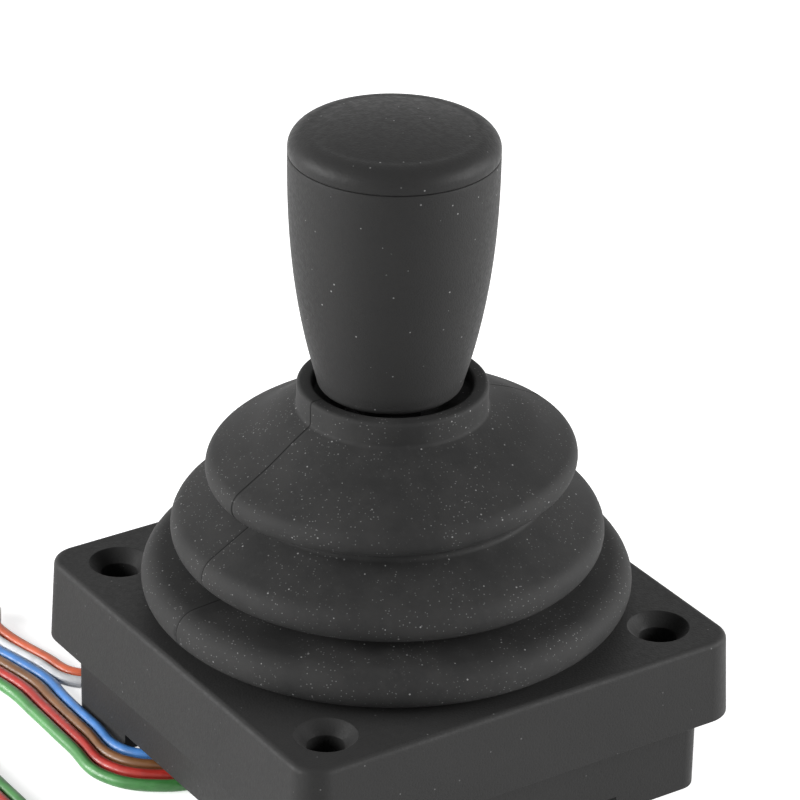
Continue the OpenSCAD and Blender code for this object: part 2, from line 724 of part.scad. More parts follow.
module magnet_holder() {
    color(inner_plastic) translate([0, 0, magnet_z]) difference() {
        cylinder(r = holder_r, h = magnet_h + holder_roof);
        translate([0, 0, -1]) cylinder(r = magnet_d / 2 + eps, h = magnet_h + 1);
    }
}

module magnet() {
    color([0.78, 0.79, 0.8]) translate([0, 0, magnet_z]) cylinder(d = magnet_d, h = magnet_h);
}

module knob_insert() {
    grip = 0.6;
    color(brass_colour) translate([0, 0, knob_z]) rotate_extrude() polygon([
        [shaft_r + 0.02, 0], [insert_r, 0], [insert_r, 5], [insert_r + grip, 5],
        [insert_r + grip, 12], [insert_r, 12], [insert_r, insert_h], [shaft_r + 0.02, insert_h]
    ]);
}

// Half width of the barrel at a height above the knob's foot
function barrel(h) = knob_r - (knob_r - knob_foot_r) * pow((knob_h - h) / knob_h, 2.35);

module knob_body() {
    rounded = [for (a = [-90:15:0]) [
        barrel(knob_edge) - knob_edge + knob_edge * cos(a), knob_edge + knob_edge * sin(a)
    ]];
    side = [for (k = [1:16]) let (h = knob_edge + (knob_h - knob_edge) * k / 16) [barrel(h), h]];
    boss = insert_r + 2;
    pocket = 8;
    inner = [for (k = [0:6])
        let (h = knob_h + (pocket - knob_h) * k / 6) [barrel(h) - knob_wall, h]
    ];
    bore = insert_r + 0.02;
    grip = bore + 0.6;
    color(plastic_colour) translate([0, 0, knob_z]) rotate_extrude($fn = 96) polygon(concat(
        [[bore, 0]], rounded, side, inner,
        [[boss, pocket], [boss, insert_h], [bore, insert_h], [bore, 12.02], [grip, 12.02],
         [grip, 4.98], [bore, 4.98]]
    ));
}

module knob_cap() {
    flat = knob_r - cap_edge;
    rim_h = cap_edge * 0.8;
    skin = 1.8;
    rim = [for (a = [0:15:90]) [flat + cap_edge * cos(a), cap_side + rim_h * sin(a)]];
    dome_z = cap_side + rim_h;
    dome = [for (k = [1:8]) let (r = flat * (1 - k / 8)) [
        r, dome_z + cap_dome * (1 - pow(r / flat, 2))
    ]];
    spigot = knob_r - knob_wall - slip_fit;
    color(plastic_colour) translate([0, 0, seam_z]) rotate_extrude($fn = 96) polygon(concat(
        [[knob_r, 0]], rim, dome,
        [[0, dome_z - skin], [spigot - skin, dome_z - skin], [spigot - skin, -cap_spigot],
         [spigot, -cap_spigot], [spigot, 0]]
    ));
}

// ---------- leads ----------

module lead_orange() { color([0.85, 0.33, 0.16]) cord(orange_route, lead_d); }
module lead_white() { color([0.9, 0.9, 0.9]) cord(white_route, lead_d); }
module lead_blue() { color([0.25, 0.47, 0.8]) cord(blue_route, lead_d); }
module lead_brown() { color([0.45, 0.3, 0.12]) cord(brown_route, lead_d); }
module lead_red() { color([0.75, 0.1, 0.1]) cord(red_route, lead_d); }
module lead_green() { color([0.25, 0.5, 0.2]) cord(green_route, lead_d); }

flange_housing();
lower_housing();
base_cover();
housing_gasket();
gimbal_carrier();
gate_plate();
bearing_bushes();
boot();
boot_clamp_ring();
return_spring();
sensor_board();
hall_sensor();
board_parts();
lead_grommet();
lead_tails();
housing_screws();
cover_screws();
board_screws();
carrier_screws();
gate_screws();
clamp_screws();
gimbal_ring();
ring_pins();
ring_bushes();
lever_hub();
cross_pin();
lever_shaft();
lever_sleeve();
spring_collar();
retaining_clip();
neck_nut();
magnet_holder();
magnet();
knob_insert();
knob_body();
knob_cap();
lead_orange();
lead_white();
lead_blue();
lead_brown();
lead_red();
lead_green();
lead_ties();
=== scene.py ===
"""The looks of a two-axis fingertip joystick: its mouldings, boot, leads and finishes.

Every length is in metres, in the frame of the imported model: Z is up, and the origin is the
centre of the face that the joystick stands on.
"""

import math

import bmesh
import bpy
from mathutils import Matrix, Vector


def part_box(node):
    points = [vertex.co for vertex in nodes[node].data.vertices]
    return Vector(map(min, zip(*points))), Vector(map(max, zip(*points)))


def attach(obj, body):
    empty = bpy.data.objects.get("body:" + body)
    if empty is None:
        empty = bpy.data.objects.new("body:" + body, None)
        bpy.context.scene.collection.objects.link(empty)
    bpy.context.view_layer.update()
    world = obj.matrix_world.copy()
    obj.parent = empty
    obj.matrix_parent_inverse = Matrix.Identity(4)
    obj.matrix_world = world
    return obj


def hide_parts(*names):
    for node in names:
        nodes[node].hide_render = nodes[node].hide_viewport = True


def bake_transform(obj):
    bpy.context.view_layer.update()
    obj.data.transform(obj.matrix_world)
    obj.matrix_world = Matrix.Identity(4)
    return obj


MM = 0.001

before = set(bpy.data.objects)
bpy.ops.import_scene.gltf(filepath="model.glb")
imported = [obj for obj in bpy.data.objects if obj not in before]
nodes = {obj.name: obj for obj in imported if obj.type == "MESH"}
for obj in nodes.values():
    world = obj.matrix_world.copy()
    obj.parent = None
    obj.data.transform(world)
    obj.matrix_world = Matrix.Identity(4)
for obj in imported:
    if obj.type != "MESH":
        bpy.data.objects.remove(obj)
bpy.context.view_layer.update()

FLANGE_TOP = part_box("flange_housing")[1].z


# ---------------------------------------------------------------- camera

CAMERA_AZIMUTH = -33.776
CAMERA_HEIGHT = 27.311
CAMERA_ROLL = 1.167
CAMERA_DISTANCE = 525.03 * MM
CAMERA_RIGHT = 1.671 * MM
CAMERA_UP = 23.135 * MM
CAMERA_LENS = 197.8


def set_up_camera():
    """A long lens, looking down over one corner of the flange; gives its level right."""
    azimuth = math.radians(CAMERA_AZIMUTH)
    height = math.radians(CAMERA_HEIGHT)
    roll = math.radians(CAMERA_ROLL)
    sight = Vector(
        (
            -math.cos(height) * math.cos(azimuth),
            -math.cos(height) * math.sin(azimuth),
            -math.sin(height),
        )
    )
    level = sight.cross(Vector((0, 0, 1))).normalized()
    upright = level.cross(sight)
    right = math.cos(roll) * level + math.sin(roll) * upright
    top = math.cos(roll) * upright - math.sin(roll) * level
    stand = (
        Vector((0, 0, FLANGE_TOP))
        - sight * CAMERA_DISTANCE
        + right * CAMERA_RIGHT
        + top * CAMERA_UP
    )
    data = bpy.data.cameras.new("camera")
    data.sensor_width = 36
    data.lens = CAMERA_LENS
    data.clip_start = 0.01
    data.clip_end = 20
    camera = bpy.data.objects.new("camera", data)
    bpy.context.scene.collection.objects.link(camera)
    camera.matrix_world = Matrix(
        (
            (right.x, top.x, -sight.x, stand.x),
            (right.y, top.y, -sight.y, stand.y),
            (right.z, top.z, -sight.z, stand.z),
            (0, 0, 0, 1),
        )
    )
    bpy.context.scene.camera = camera
    return level


across_view = set_up_camera()


# ---------------------------------------------------------------- finishes


class Value:
    """One output in a finish. Arithmetic on it adds the Math nodes that work it out."""

    def __init__(self, finish, socket):
        self.finish = finish
        self.socket = socket

    def work(self, operation, *others):
        inputs = {i: v for i, v in enumerate((self, *others))}
        return self.finish.add("ShaderNodeMath", {"operation": operation}, inputs)

    def __add__(self, other):
        return self.work("ADD", other)

    __radd__ = __add__

    def __mul__(self, other):
        return self.work("MULTIPLY", other)

    __rmul__ = __mul__

    def __sub__(self, other):
        return self.work("SUBTRACT", other)

    def __rsub__(self, other):
        return self.finish.add("ShaderNodeMath", {"operation": "SUBTRACT"}, {0: other, 1: self})

    def __abs__(self):
        return self.work("ABSOLUTE")

    def at_least(self, other):
        return self.work("MAXIMUM", other)

    def ease(self, low, high, first=0.0, last=1.0):
        """Goes smoothly from first to last as this value goes from low to high."""
        return self.finish.add(
            "ShaderNodeMapRange",
            {"interpolation_type": "SMOOTHSTEP"},
            {0: self, 1: low, 2: high, 3: first, 4: last},
        )


class Nodes:
    """A node tree that values and nodes are added to."""

    def __init__(self, tree):
        self.tree = tree

    def add(self, kind, settings, values, output=0):
        """A node of that kind: its settings first, then what its sockets hold or take."""
        node = self.tree.nodes.new(kind)
        for name, setting in settings.items():
            setattr(node, name, setting)
        for key, value in values.items():
            self.feed(node.inputs[key], value)
        return Value(self, node.outputs[output])

    def feed(self, socket, value):
        if isinstance(value, Value):
            self.tree.links.new(value.socket, socket)
        else:
            socket.default_value = value

    def rays(self, *kinds):
        """1 for rays of any of these kinds, otherwise 0."""
        path = self.add("ShaderNodeLightPath", {}, {}).socket.node
        first, *others = [Value(self, path.outputs[kind]) for kind in kinds]
        for other in others:
            first = first.at_least(other)
        return first


class Finish(Nodes):
    """A procedural material, built up from one Principled surface."""

    def __init__(self, name, **constants):
        self.material = bpy.data.materials.new(name)
        self.material.use_nodes = True
        super().__init__(self.material.node_tree)
        self.surface = self.tree.nodes["Principled BSDF"]
        for socket, value in constants.items():
            self.surface.inputs[socket.replace("_", " ")].default_value = value

    def set(self, **values):
        for name, value in values.items():
            self.feed(self.surface.inputs[name.replace("_", " ")], value)
        return self.material

    def place(self):
        """Where a point is on its own piece, in metres."""
        return self.add("ShaderNodeTexCoord", {}, {}, output=3)

    def parts_of(self, vector):
        split = self.add("ShaderNodeSeparateXYZ", {}, {0: vector}).socket.node
        return [Value(self, split.outputs[i]) for i in range(3)]

    def stretched(self, vector, scale):
        return self.add(
            "ShaderNodeVectorMath", {"operation": "MULTIPLY"}, {0: vector, 1: scale}
        )

    def clouds(self, vector, size, detail=2.0, roughness=0.5):
        """Soft noise whose blots are about that size."""
        return self.add(
            "ShaderNodeTexNoise",
            {},
            {"Vector": vector, "Scale": 1 / size, "Detail": detail, "Roughness": roughness},
        )

    def grains(self, vector, size, feature="F1"):
        """Distance to the nearest of grains that are about that far apart."""
        return self.add(
            "ShaderNodeTexVoronoi",
            {"feature": feature},
            {"Vector": vector, "Scale": 1 / size, "Randomness": 1.0},
        )

    def mix(self, share, first, last):
        return self.add(
            "ShaderNodeMix", {"data_type": "RGBA"}, {0: share, 6: first, 7: last}, output=2
        )

    def bump(self, height, depth, strength):
        return self.add(
            "ShaderNodeBump", {}, {"Strength": strength, "Distance": depth, "Height": height}
        )


def grey(level, warmth=0.0):
    return (level * (1 + warmth), level, level * (1 - warmth), 1)


def moulded_plastic(name, level, roughness, grain, dust=0.0):
    """Black moulding with the fine pitted skin of an etched mould, and painted shade in its pits.
    """
    finish = Finish(name, Specular_IOR_Level=0.1)
    place = finish.place()
    skin = finish.clouds(place, grain * 2.2, 3, 0.6)
    pits = finish.grains(place, grain)
    blots = finish.clouds(place, 9 * MM, 3)
    height = skin * 0.6 + pits.ease(0.1, 0.7) * 0.5
    colour = finish.mix(
        (blots - 0.5) * 0.7 + 0.5, grey(level * 0.86), grey(level * 1.14, 0.01)
    )
    # Painted shade: the colour darkens in the pits, the same spots that the bump sinks.
    colour = finish.mix(pits.ease(0.0, 0.35, 0.22, 0), colour, grey(level * 0.45))
    if dust:
        speck = finish.grains(place, 1.5 * MM)
        sparse = finish.clouds(place, 2.1 * MM, 1)
        shown = speck.ease(0.05, 0.085, 0.7, 0) * sparse.ease(0.48, 0.56) * dust
        colour = finish.mix(shown, colour, grey(0.4))
    return finish.set(
        Base_Color=colour,
        Roughness=skin.ease(0.3, 0.7, roughness - 0.07, roughness + 0.07),
        Normal=finish.bump(height, 0.03 * MM, 0.55),
    )


def boot_rubber():
    """Soft black rubber: a dry bloom, faint flow marks, a little white dust and painted shade
    along the parting line's groove.
    """
    finish = Finish("boot_rubber", Specular_IOR_Level=0.1)
    place = finish.place()
    skin = finish.clouds(place, 0.35 * MM, 3, 0.6)
    bloom = finish.clouds(place, 6 * MM, 4, 0.62)
    fine = finish.clouds(place, 1.3 * MM, 3, 0.6)
    colour = finish.mix(bloom.ease(0.3, 0.72), grey(0.026), grey(0.038, 0.01))
    colour = finish.mix(fine.ease(0.55, 0.8, 0, 0.3), colour, grey(0.05))
    tiny = finish.grains(place, 0.5 * MM)
    colour = finish.mix(
        tiny.ease(0.09, 0.2, 0.5, 0) * bloom.ease(0.36, 0.6), colour, grey(0.26)
    )
    specks = finish.grains(place, 1.3 * MM)
    sparse = finish.clouds(place, 2.0 * MM, 1)
    colour = finish.mix(
        specks.ease(0.06, 0.1, 0.6, 0) * sparse.ease(0.46, 0.56), colour, grey(0.4)
    )
    # Painted shade: the colour goes near-black along the parting line's groove, in the plane x =
    # 0.
    parting_groove_shade = abs(finish.parts_of(place)[0])
    colour = finish.mix(parting_groove_shade.ease(0.04 * MM, 0.13 * MM, 0.9, 0), colour, grey(0.006))
    return finish.set(
        Base_Color=colour,
        Roughness=bloom.ease(0.3, 0.7, 0.6, 0.74),
        Normal=finish.bump(skin + fine * 0.4, 0.025 * MM, 0.6),
    )


def plain_rubber():
    finish = Finish("seal_rubber", Specular_IOR_Level=0.3)
    place = finish.place()
    skin = finish.clouds(place, 0.5 * MM, 3)
    colour = finish.mix(skin.ease(0.3, 0.7), grey(0.03), grey(0.05))
    return finish.set(
        Base_Color=colour, Roughness=0.72, Normal=finish.bump(skin, 0.02 * MM, 0.5)
    )


def inner_plastic():
    """Glass-filled nylon: dark grey with pale short fibres near its skin."""
    finish = Finish("inner_plastic", Specular_IOR_Level=0.45)
    place = finish.place()
    fibres = finish.clouds(finish.stretched(place, (1, 1, 5)), 0.6 * MM, 4, 0.7)
    colour = finish.mix(fibres.ease(0.35, 0.75), grey(0.09), grey(0.17, 0.01))
    return finish.set(
        Base_Color=colour,
        Roughness=fibres.ease(0.3, 0.7, 0.42, 0.56),
        Normal=finish.bump(fibres, 0.02 * MM, 0.4),
    )


def metal(name, dark, light, roughness, stretch, size=0.4 * MM):
    finish = Finish(name, Metallic=1.0)
    place = finish.place()
    marks = finish.clouds(finish.stretched(place, stretch), size, 4, 0.7)
    stains = finish.clouds(place, 4 * MM, 2)
    colour = finish.mix(stains.ease(0.3, 0.7), dark, light)
    return finish.set(
        Base_Color=colour,
        Roughness=marks.ease(0.3, 0.7, roughness - 0.07, roughness + 0.09),
        Normal=finish.bump(marks, 0.01 * MM, 0.35),
    )


def board_mask():
    """Green solder mask with the faint relief of tracks under it."""
    finish = Finish("board_mask", Specular_IOR_Level=0.5, Coat_Weight=0.3, Coat_Roughness=0.2)
    place = finish.place()
    tracks = finish.grains(finish.stretched(place, (1, 1, 0.01)), 2.4 * MM, "DISTANCE_TO_EDGE")
    raised = tracks.ease(0.05, 0.12)
    colour = finish.mix(raised, (0.03, 0.14, 0.06, 1), (0.045, 0.21, 0.09, 1))
    return finish.set(
        Base_Color=colour, Roughness=0.35, Normal=finish.bump(raised, 0.035 * MM, 0.6)
    )


def chip_resin():
    finish = Finish("chip_resin", Specular_IOR_Level=0.4)
    skin = finish.clouds(finish.place(), 0.12 * MM, 3)
    colour = finish.mix(skin.ease(0.3, 0.7), grey(0.014), grey(0.03))
    return finish.set(
        Base_Color=colour, Roughness=0.6, Normal=finish.bump(skin, 0.01 * MM, 0.5)
    )


def insulation(name, colour):
    """Thin glossy lead insulation, a little uneven along its length."""
    finish = Finish("insulation_" + name, Specular_IOR_Level=0.5, Coat_Roughness=0.25)
    place = finish.place()
    waves = finish.clouds(place, 2.5 * MM, 3)
    scuffs = finish.clouds(place, 0.5 * MM, 3)
    dull = tuple(c * 0.78 for c in colour) + (1,)
    bright = tuple(min(1, c * 1.08 + 0.01) for c in colour) + (1,)
    return finish.set(
        Base_Color=finish.mix(waves.ease(0.3, 0.7), dull, bright),
        Roughness=scuffs.ease(0.3, 0.7, 0.3, 0.48),
        Coat_Weight=scuffs.ease(0.35, 0.65, 0.35, 0.1),
        Normal=finish.bump(waves + scuffs * 0.3, 0.05 * MM, 0.35),
    )


def tie_nylon():
    finish = Finish("tie_nylon", Specular_IOR_Level=0.5)
    skin = finish.clouds(finish.place(), 0.8 * MM, 3)
    colour = finish.mix(skin.ease(0.3, 0.7), grey(0.7, 0.02), grey(0.84, 0.03))
    return finish.set(
        Base_Color=colour, Roughness=0.45, Normal=finish.bump(skin, 0.02 * MM, 0.3)
    )


housing_finish = moulded_plastic("housing_plastic", 0.032, 0.5, 0.32 * MM, dust=0.35)
knob_finish = moulded_plastic("knob_plastic", 0.03, 0.56, 0.26 * MM, dust=0.8)
cap_finish = moulded_plastic("cap_plastic", 0.027, 0.46, 0.36 * MM, dust=0.8)
rubber_finish = boot_rubber()
seal_finish = plain_rubber()
nylon_finish = inner_plastic()
steel_finish = metal("bright_steel", grey(0.5), grey(0.62), 0.3, (1, 1, 8))
spring_finish = metal("spring_steel", grey(0.42), grey(0.55), 0.34, (3, 3, 3))
brass_finish = metal("turned_brass", (0.6, 0.42, 0.17, 1), (0.72, 0.53, 0.24, 1), 0.32, (1, 1, 9))
blackened_finish = metal("blackened_steel", grey(0.02), grey(0.035), 0.5, (2, 2, 2))
magnet_finish = metal("nickel_plate", grey(0.6), grey(0.7), 0.2, (2, 2, 2))
tinned_finish = metal("tinned_copper", (0.5, 0.47, 0.43, 1), (0.66, 0.64, 0.6, 1), 0.34, (2, 2, 2))
board_finish = board_mask()
chip_finish = chip_resin()
tie_finish = tie_nylon()

NODE_FINISHES = {
    "flange_housing": housing_finish,
    "lower_housing": housing_finish,
    "base_cover": housing_finish,
    "housing_gasket": seal_finish,
    "gimbal_carrier": nylon_finish,
    "gate_plate": steel_finish,
    "bearing_bushes": brass_finish,
    "boot": rubber_finish,
    "boot_clamp_ring": steel_finish,
    "return_spring": spring_finish,
    "sensor_board": board_finish,
    "hall_sensor": chip_finish,
    "board_parts": chip_finish,
    "lead_grommet": seal_finish,
    "lead_tails": tinned_finish,
    "housing_screws": steel_finish,
    "cover_screws": steel_finish,
    "board_screws": steel_finish,
    "carrier_screws": steel_finish,
    "gate_screws": steel_finish,
    "clamp_screws": steel_finish,
    "gimbal_ring": nylon_finish,
    "ring_pins": steel_finish,
    "ring_bushes": brass_finish,
    "lever_hub": nylon_finish,
    "cross_pin": steel_finish,
    "lever_shaft": steel_finish,
    "lever_sleeve": nylon_finish,
    "spring_collar": nylon_finish,
    "retaining_clip": spring_finish,
    "neck_nut": blackened_finish,
    "magnet_holder": nylon_finish,
    "magnet": magnet_finish,
    "knob_insert": brass_finish,
    "knob_body": knob_finish,
    "knob_cap": cap_finish,
    "lead_ties": tie_finish,
}


def dress(piece, finish):
    piece.data.materials.clear()
    piece.data.materials.append(finish)
    return piece


for node_name, node_finish in NODE_FINISHES.items():
    dress(nodes[node_name], node_finish)


# ---------------------------------------------------------------- leads

LEADS = {
    "orange": (
        (0.7, 0.13, 0.045),
        [
            (-9, -3.6, 0.9), (-15, -5.2, 0.8), (-21, -8.2, 0.76), (-26, -10.9, 0.76),
            (-30, -13.1, 0.76), (-30.8, -17.5, 0.76), (-31, -21.5, 0.76), (-33.2, -24.5, 0.76),
            (-37.5, -25.5, 0.76), (-45.5, -27.1, 0.8), (-51, -27.3, 1.1), (-57, -27.35, 0.8),
            (-65.9, -31.1, 0.76), (-69.65, -40, 0.76), (-65.9, -48.9, 0.76),
            (-57, -52.65, 0.76), (-48, -52.65, 1.1), (-40, -52.65, 0.76), (-5, -52.65, 0.76),
        ],
    ),
    "white": (
        (0.78, 0.79, 0.81),
        [
            (-9, -5.8, 0.9), (-15, -7.4, 0.8), (-21, -10.2, 0.76), (-25, -12.4, 0.76),
            (-28.3, -14.3, 0.76), (-29.1, -17.5, 0.76), (-29.3, -22, 0.76),
            (-31.7, -25.7, 0.76), (-37.5, -27.1, 0.76), (-45.5, -28.8, 0.8), (-51, -29, 1.1),
            (-57, -29, 0.8), (-64.8, -32.2, 0.76), (-68, -40, 0.76), (-64.8, -47.8, 0.76),
            (-57, -51, 0.76), (-48, -51, 1.1), (-40, -51, 0.76), (0.2, -51, 0.76),
        ],
    ),
    "blue": (
        (0.075, 0.27, 0.7),
        [
            (-7.6, -10, 0.9), (-8, -15, 0.8), (-9, -20, 0.76), (-10.8, -25.2, 0.76),
            (-14.2, -28.3, 0.76), (-21, -28.4, 0.76), (-28.8, -28.3, 0.76), (-33, -28, 0.76),
            (-38.5, -28.9, 0.76), (-45.5, -30.4, 0.8), (-51, -30.6, 1.1), (-57, -30.65, 0.8),
            (-63.6, -33.4, 0.76), (-66.35, -40, 0.76), (-63.6, -46.6, 0.76),
            (-57, -49.35, 0.76), (-48, -49.35, 1.1), (-40, -49.35, 0.76), (1.1, -49.35, 0.76),
        ],
    ),
    "brown": (
        (0.24, 0.1, 0.03),
        [
            (-5.6, -10, 0.9), (-6, -15, 0.8), (-6.8, -20.5, 0.76), (-8.6, -26, 0.76),
            (-13, -29.95, 0.76), (-20, -30, 0.76), (-28.8, -29.9, 0.76), (-33, -29.7, 0.76),
            (-38.5, -30.6, 0.76), (-45.5, -32, 0.8), (-51, -32.25, 1.1), (-57, -32.3, 0.8),
            (-62.45, -34.5, 0.76), (-64.7, -40, 0.76), (-62.45, -45.5, 0.76),
            (-57, -47.7, 0.76), (-48, -47.7, 1.1), (-40, -47.7, 0.76), (3, -47.7, 0.76),
        ],
    ),
    "red": (
        (0.55, 0.03, 0.02),
        [
            (-3.6, -10, 0.9), (-4, -15, 0.8), (-4.8, -21, 0.76), (-6.6, -27, 0.76),
            (-11.6, -31.5, 0.76), (-19, -31.6, 0.76), (-28, -31.5, 0.76), (-33, -31.4, 0.76),
            (-38.5, -32.3, 0.76), (-45.5, -33.7, 0.8), (-51, -33.9, 1.1), (-57, -33.95, 0.8),
            (-61.2, -35.85, 0.76), (-63.05, -40, 0.76), (-61.2, -44.15, 0.76),
            (-57, -46.05, 0.76), (-48, -46.05, 1.1), (-40, -46.05, 0.76), (4.7, -46.05, 0.76),
        ],
    ),
    "green": (
        (0.06, 0.26, 0.06),
        [
            (-1.6, -10, 0.9), (-2, -15, 0.8), (-2.8, -21.5, 0.76), (-4.6, -28, 0.76),
            (-10.2, -33.1, 0.76), (-18, -33.2, 0.76), (-28, -33.1, 0.76), (-33, -33.1, 0.76),
            (-38.5, -34, 0.76), (-45.5, -35.3, 0.8), (-51, -35.6, 1.1), (-57, -35.6, 0.8),
            (-60.1, -36.9, 0.76), (-61.4, -40, 0.76), (-60.1, -43.1, 0.76),
            (-57, -44.4, 0.76), (-48, -44.4, 1.1), (-40, -44.4, 0.76), (6.6, -44.4, 0.76),
        ],
    ),
}
LEAD_THICKNESS = 1.5 * MM


def lay_lead(colour_name, colour, route):
    """One flying lead, from the grommet out under the housing's wall to its bare end."""
    data = bpy.data.curves.new("lead_" + colour_name, "CURVE")
    data.dimensions = "3D"
    data.bevel_depth = LEAD_THICKNESS / 2
    data.bevel_resolution = 5
    data.resolution_u = 10
    data.use_fill_caps = True
    spline = data.splines.new("BEZIER")
    spline.bezier_points.add(len(route) - 1)
    for knot, (x, y, z) in zip(spline.bezier_points, route):
        knot.co = (x * MM, y * MM, z * MM)
        knot.handle_left_type = knot.handle_right_type = "AUTO"
    lead = bpy.data.objects.new("flying_lead_" + colour_name, data)
    bpy.context.scene.collection.objects.link(lead)
    dress(lead, insulation(colour_name, colour))
    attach(lead, "base")
    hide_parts("lead_" + colour_name)
    return lead


for lead_name, (lead_colour, lead_route) in LEADS.items():
    lay_lead(lead_name, lead_colour, lead_route)


# ---------------------------------------------------------------- making meshes


def new_piece(name, mesh_maker, finish):
    """A mesh piece from a bmesh that mesh_maker fills."""
    made = bmesh.new()
    mesh_maker(made)
    bmesh.ops.recalc_face_normals(made, faces=made.faces)
    data = bpy.data.meshes.new(name)
    made.to_mesh(data)
    made.free()
    data.shade_smooth()
    piece = bpy.data.objects.new(name, data)
    bpy.context.scene.collection.objects.link(piece)
    return dress(piece, finish)


def turned(outline, columns, bend=None):
    """Fills a bmesh with an outline of (radius, height) points turned round Z.

    columns are angles in degrees; bend moves a point, given it and its angle.
    """

    def fill(made):
        rows = []
        for radius, height in outline:
            row = []
            for angle in columns:
                turn = math.radians(angle)
                point = Vector((radius * math.cos(turn), radius * math.sin(turn), height))
                if bend:
                    point = bend(point, angle)
                row.append(made.verts.new(point))
            rows.append(row)
        for lower, upper in zip(rows, rows[1:]):
            for k in range(len(columns)):
                n = (k + 1) % len(columns)
                made.faces.new((lower[k], lower[n], upper[n], upper[k]))
        for row, (radius, _) in ((rows[0], outline[0]), (rows[-1], outline[-1])):
            if radius < 0.05 * MM:
                bmesh.ops.pointmerge(
                    made, verts=row, merge_co=sum((v.co for v in row), Vector()) / len(row)
                )

    return fill


def in_metres(points):
    return [(r * MM, z * MM) for r, z in points]


def even_columns(count):
    return [360 * k / count for k in range(count)]


def arc(centre, radius, start, end, steps):
    """Points round an arc in the (radius, height) plane, in degrees from outward."""
    return [
        (
            centre[0] + radius[0] * math.cos(math.radians(start + (end - start) * k / steps)),
            centre[1] + radius[1] * math.sin(math.radians(start + (end - start) * k / steps)),
        )
        for k in range(steps + 1)
    ]


def finely(points, step):
    """The same outline with its long stretches cut into short ones."""
    made = [points[0]]
    for a, b in zip(points, points[1:]):
        parts = max(1, math.ceil(math.dist(a, b) / step))
        made += [
            (a[0] + (b[0] - a[0]) * k / parts, a[1] + (b[1] - a[1]) * k / parts)
            for k in range(1, parts + 1)
        ]
    return made


def softened(node_name, new_name, width, finish, corner=30.0):
    """A copy of a CAD solid's mesh with its sharp edges rounded off."""
    made = bmesh.new()
    made.from_mesh(nodes[node_name].data)
    bmesh.ops.remove_doubles(made, verts=made.verts, dist=1e-7)
    bmesh.ops.dissolve_limit(
        made, angle_limit=math.radians(0.6), verts=made.verts, edges=made.edges
    )
    data = bpy.data.meshes.new(new_name)
    made.to_mesh(data)
    made.free()
    data.shade_smooth()
    piece = bpy.data.objects.new(new_name, data)
    bpy.context.scene.collection.objects.link(piece)
    round_off = piece.modifiers.new("rounded edges", "BEVEL")
    round_off.width = width
    round_off.segments = 3
    round_off.limit_method = "ANGLE"
    round_off.angle_limit = math.radians(corner)
    round_off.harden_normals = False
    flats = piece.modifiers.new("flat faces stay flat", "WEIGHTED_NORMAL")
    flats.keep_sharp = False
    flats.weight = 80
    return dress(piece, finish)


# ---------------------------------------------------------------- housing

flange = softened("flange_housing", "flange", 0.22 * MM, housing_finish, 28)
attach(flange, "base")
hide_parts("flange_housing")

lower = softened("lower_housing", "lower_box", 0.25 * MM, housing_finish, 28)
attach(lower, "base")
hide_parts("lower_housing")


# ---------------------------------------------------------------- boot

# Circles that the wall runs round: radius and height of each centre above the flange, its
# own radius, and 1 for a fold or -1 for a valley
VALLEY = 0.6
NECK_RADIUS = 11.25
NECK_TOP = 28.7
BOOT_CIRCLES = [
    (29.2 - 2.6, 3.3, 2.6, 1),
    (25.7 - 3.5, 6.8, VALLEY, -1),
    (25.7 - 2.4, 9.8, 2.4, 1),
    (21.9 - 2.6, 15.4, VALLEY, -1),
    (21.9 - 2.0, 18.6, 2.0, 1),
    (NECK_RADIUS + VALLEY, NECK_TOP - 2.7, VALLEY, -1),
    (NECK_RADIUS - 0.5, NECK_TOP - 0.5, 0.5, 1),
]
SPLIT = 3


def flank_angle(i):
    """Direction of the outward normal on the straight stretch after circle i."""
    r0, z0, a0, s0 = BOOT_CIRCLES[i]
    r1, z1, a1, s1 = BOOT_CIRCLES[i + 1]
    reach = math.hypot(r1 - r0, z1 - z0)
    return (
        math.degrees(math.atan2(z1 - z0, r1 - r0))
        - 90
        + math.degrees(math.asin((s0 * a0 - s1 * a1) / reach))
    )


def boot_wall(first, last, start, end):
    """The boot's outer wall from circle first to circle last."""
    points = []
    for i in range(first, last + 1):
        radius, height, size, side = BOOT_CIRCLES[i]
        a = start if i == first else flank_angle(i - 1)
        b = end if i == last else flank_angle(i)
        points += arc((radius, height), (side * size, side * size), a, b, 14)
    return finely(points, 0.55)


# The parting line lies in the plane x = 0. Angles are in degrees and lengths in millimetres.
PARTING = -90
PARTING_SIDES = (PARTING, PARTING + 180)
PARTING_STEPS = (-1.1, -0.5, 0, 0.5, 1.1)
PARTING_DEPTH = 0.14
COLUMN_STEP = 2.0
TOP_FOLD_LEAN = 2.8
TOP_FOLD_SHIFT = 0.32


def off_parting(angle):
    """How far an angle is from the nearer end of the parting line."""
    return min(abs((angle - side + 180) % 360 - 180) for side in PARTING_SIDES)


def near_parting(angle):
    """Whether a plain column would crowd the columns of the parting line."""
    return any(abs((angle - side) % 360) <= 1.4 for side in PARTING_SIDES)


plain_columns = [k * COLUMN_STEP for k in range(180)]
boot_columns = sorted(
    [angle for angle in plain_columns if not near_parting(angle)]
    + [(side + step) % 360 for side in PARTING_SIDES for step in PARTING_STEPS]
)


def share(value, low, high):
    """0 up to low, 1 from high on, and even in between."""
    return min(max((value - low) / (high - low), 0), 1)


def boot_bend(point, angle):
    """Leans and shifts the top fold a little, and presses in the mould's parting line."""
    height = point.z / MM
    lean = share(height, 15.6, 17.2) * share(-height, -25.6, -22.2)
    lean = lean * lean * (3 - 2 * lean)
    side = point.x * across_view.x + point.y * across_view.y
    point.z += side * math.tan(math.radians(TOP_FOLD_LEAN)) * lean
    point += across_view * TOP_FOLD_SHIFT * MM * share(height, 15.2, 16.8)
    if off_parting(angle) < 0.1:
        flat = Vector((point.x, point.y, 0))
        point -= flat.normalized() * PARTING_DEPTH * MM
    point.z += FLANGE_TOP
    return point


